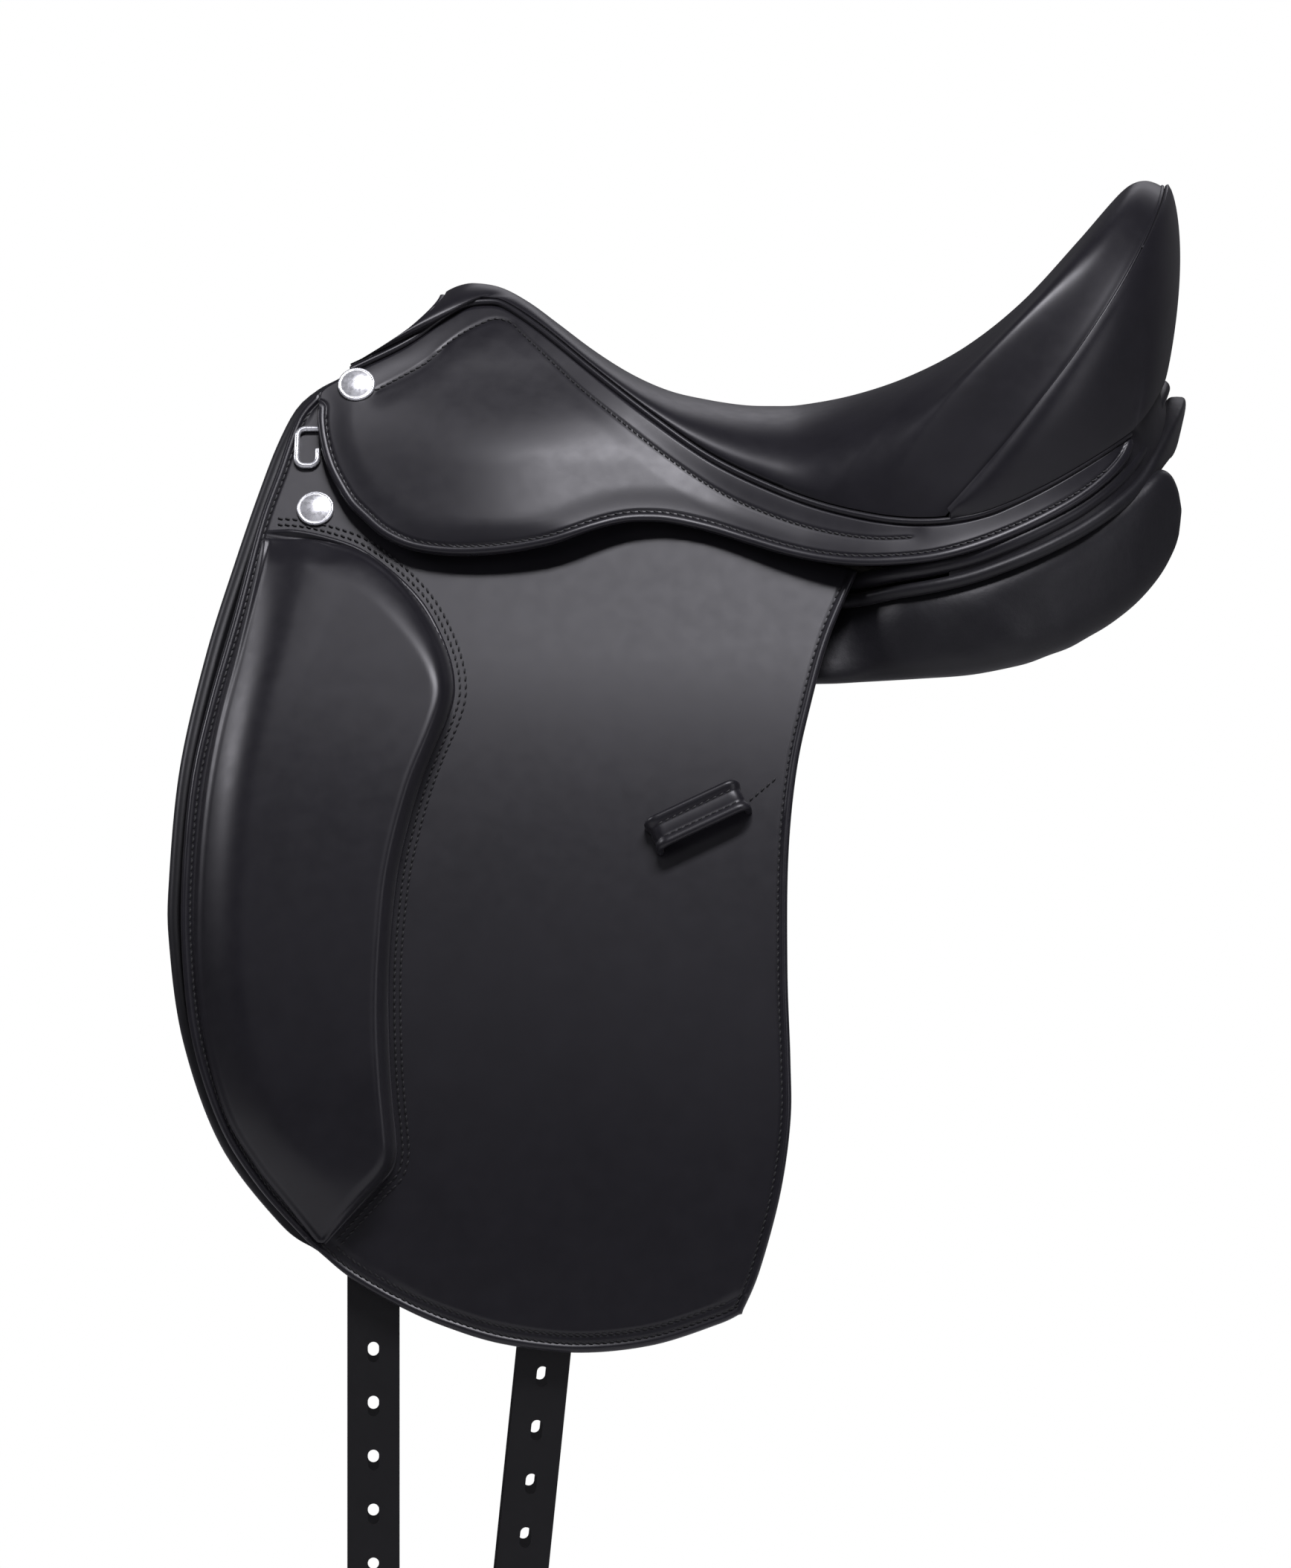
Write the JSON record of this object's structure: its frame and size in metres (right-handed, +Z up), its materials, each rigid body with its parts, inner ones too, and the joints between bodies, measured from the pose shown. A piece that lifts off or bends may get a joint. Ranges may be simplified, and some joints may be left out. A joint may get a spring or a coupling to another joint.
{
  "type": "dressage saddle",
  "caption": "Black leather dressage saddle with a deep seat, long flaps with thigh blocks, lifting skirts, stuffed panels and hanging girth billets.",
  "frame": {"origin": "on the centre plane over the gullet, at the height of the skirt's lower edge", "axes": "+X to the cantle (rear), +Z up, the near (left) side faces -Y"},
  "size_m": [0.5451, 0.449, 0.785],
  "materials": {
    "tree_laminate": "laminated beech",
    "cantle_board": "laminated beech",
    "steel": "plain steel",
    "bar_steel": "forged steel",
    "web_fabric": "woven web",
    "seat_foam": "foam rubber",
    "bright_metal": "polished",
    "soft_leather": "soft satin calf",
    "panel_leather": "soft calf over stuffing",
    "strap_leather": "waxed strap",
    "lining_leather": "smooth under-leather",
    "flap_leather": "smooth satin calf"
  },
  "bodies": {
    "saddle": {"tree_frame": "tree_laminate", "head_plate": "steel", "head_rivets": "steel", "pommel_facing": "soft_leather", "seat_webs": "web_fabric", "seat_foam": "seat_foam", "seat_cover": "soft_leather", "cantle_board": "cantle_board", "cantle_gusset": "soft_leather", "seat_welts": "soft_leather", "skirt_left": "flap_leather", "skirt_right": "flap_leather", "flap_head_left": "flap_leather", "flap_head_right": "flap_leather", "sweat_flap_left": "lining_leather", "sweat_flap_right": "lining_leather", "panel_left": "panel_leather", "panel_right": "panel_leather", "cantle_roll": "soft_leather", "panel_band": "soft_leather", "girth_webs": "web_fabric", "stirrup_bar_left": "bar_steel", "stirrup_bar_right": "bar_steel", "bar_rivets": "steel", "skirt_nails": "bright_metal", "flap_nails": "bright_metal", "dee_chape_left": "flap_leather", "dee_chape_right": "flap_leather"},
    "flap_left": {"flap_left": "flap_leather", "thigh_block_left": "soft_leather", "keeper_left": "flap_leather"},
    "flap_right": {"flap_right": "flap_leather", "thigh_block_right": "soft_leather", "keeper_right": "flap_leather"},
    "skirt_lobe_left": {"skirt_lobe_left": "flap_leather"},
    "skirt_lobe_right": {"skirt_lobe_right": "flap_leather"},
    "front_billet_left": {"front_billet_left": "strap_leather"},
    "front_billet_right": {"front_billet_right": "strap_leather"},
    "rear_billet_left": {"rear_billet_left": "strap_leather"},
    "rear_billet_right": {"rear_billet_right": "strap_leather"},
    "dee_ring_left": {"dee_ring_left": "bright_metal"},
    "dee_ring_right": {"dee_ring_right": "bright_metal"},
    "stirrup_catch_left": {"stirrup_catch_left": "bar_steel"},
    "stirrup_catch_right": {"stirrup_catch_right": "bar_steel"}
  },
  "joints": [
    {"name": "flap_lift_left", "type": "hinge", "parent": "saddle", "child": "flap_left", "pos_m": [-0.262, -0.08195, 0.0176], "axis": [-0.9656, 0.1775, 0.1901], "range_deg": [0, 70]},
    {"name": "flap_lift_right", "type": "hinge", "parent": "saddle", "child": "flap_right", "pos_m": [-0.262, 0.08195, 0.0176], "axis": [0.9656, 0.1775, -0.1901], "range_deg": [0, 70]},
    {"name": "skirt_lift_left", "type": "hinge", "parent": "saddle", "child": "skirt_lobe_left", "pos_m": [-0.23005, -0.07402, 0.08468], "axis": [-0.9345, 0.2191, 0.2806], "range_deg": [0, 60]},
    {"name": "skirt_lift_right", "type": "hinge", "parent": "saddle", "child": "skirt_lobe_right", "pos_m": [-0.23005, 0.07402, 0.08468], "axis": [0.9345, 0.2191, -0.2806], "range_deg": [0, 60]},
    {"name": "front_billet_swing_left", "type": "hinge", "parent": "saddle", "child": "front_billet_left", "pos_m": [-0.199, -0.0712, 0.028], "axis": [0.0872, 0.9962, 0], "range_deg": [-2, 8]},
    {"name": "front_billet_swing_right", "type": "hinge", "parent": "saddle", "child": "front_billet_right", "pos_m": [-0.199, 0.0712, 0.028], "axis": [-0.0872, 0.9962, 0], "range_deg": [-2, 8]},
    {"name": "rear_billet_swing_left", "type": "hinge", "parent": "saddle", "child": "rear_billet_left", "pos_m": [-0.062, -0.08906, 0.016], "axis": [0.0872, 0.9962, 0], "range_deg": [-8, 2]},
    {"name": "rear_billet_swing_right", "type": "hinge", "parent": "saddle", "child": "rear_billet_right", "pos_m": [-0.062, 0.08906, 0.016], "axis": [-0.0872, 0.9962, 0], "range_deg": [-8, 2]},
    {"name": "dee_swing_left", "type": "hinge", "parent": "saddle", "child": "dee_ring_left", "pos_m": [-0.23395, -0.06144, 0.06883], "axis": [-0.9962, 0.0872, 0], "range_deg": [0, 40]},
    {"name": "dee_swing_right", "type": "hinge", "parent": "saddle", "child": "dee_ring_right", "pos_m": [-0.23395, 0.06144, 0.06883], "axis": [0.9962, 0.0872, 0], "range_deg": [0, 40]},
    {"name": "catch_turn_left", "type": "hinge", "parent": "saddle", "child": "stirrup_catch_left", "pos_m": [-0.0929, -0.0993, 0.02699], "axis": [-0.0783, -0.8954, 0.4384], "range_deg": [0, 80]},
    {"name": "catch_turn_right", "type": "hinge", "parent": "saddle", "child": "stirrup_catch_right", "pos_m": [-0.0929, 0.0993, 0.02699], "axis": [0.0783, -0.8954, -0.4384], "range_deg": [0, 80]}
  ]
}
